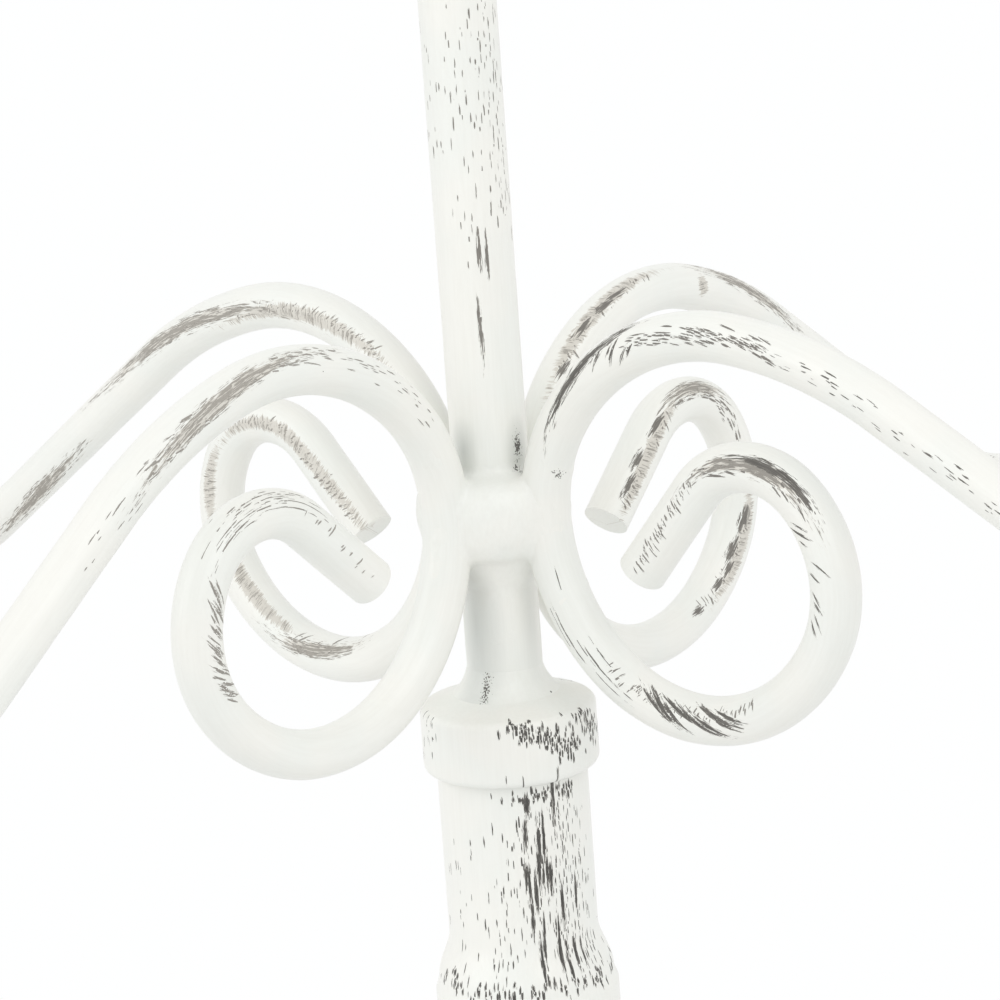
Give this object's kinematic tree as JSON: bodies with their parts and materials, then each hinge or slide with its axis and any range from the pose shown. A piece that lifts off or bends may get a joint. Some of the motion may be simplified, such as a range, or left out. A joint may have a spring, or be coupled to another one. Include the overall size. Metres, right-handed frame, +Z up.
{
  "type": "candelabra",
  "caption": "Free-standing table candelabra with scrolled round-bar arms and a raised centre light on a slim turned column, finished in worn pale paint.",
  "frame": {"origin": "centre of the foot on the plane that it rests on", "axes": "+Z up along the centre post; +X towards the right front arm, which is turned 1.5 degrees from it"},
  "size_m": [0.3958, 0.3958, 0.4772],
  "materials": {
    "painted_iron": "satin off-white paint brushed over dark iron and rubbed through",
    "bare_steel": "plain zinc-grey fastener steel"
  },
  "bodies": {
    "root": {"foot": "painted_iron", "foot_ring": "painted_iron", "baluster": "painted_iron", "knop": "painted_iron", "lower_column": "painted_iron", "upper_column": "painted_iron", "column_cap": "painted_iron", "post_weld": "painted_iron", "centre_post": "painted_iron", "arm_right_front": "painted_iron", "arm_right_back": "painted_iron", "arm_left_back": "painted_iron", "arm_left_front": "painted_iron", "arm_weld_right": "painted_iron", "arm_weld_back": "painted_iron", "arm_weld_left": "painted_iron", "arm_weld_front": "painted_iron", "tie_rod": "bare_steel", "rod_washer": "bare_steel", "rod_nut": "bare_steel", "drip_pan_centre": "painted_iron", "drip_pan_right_front": "painted_iron", "drip_pan_right_back": "painted_iron", "drip_pan_left_back": "painted_iron", "drip_pan_left_front": "painted_iron", "candle_cup_centre": "painted_iron", "candle_cup_right_front": "painted_iron", "candle_cup_right_back": "painted_iron", "candle_cup_left_back": "painted_iron", "candle_cup_left_front": "painted_iron", "cup_screw_centre": "bare_steel", "cup_screw_right_front": "bare_steel", "cup_screw_right_back": "bare_steel", "cup_screw_left_back": "bare_steel", "cup_screw_left_front": "bare_steel"}
  },
  "joints": []
}
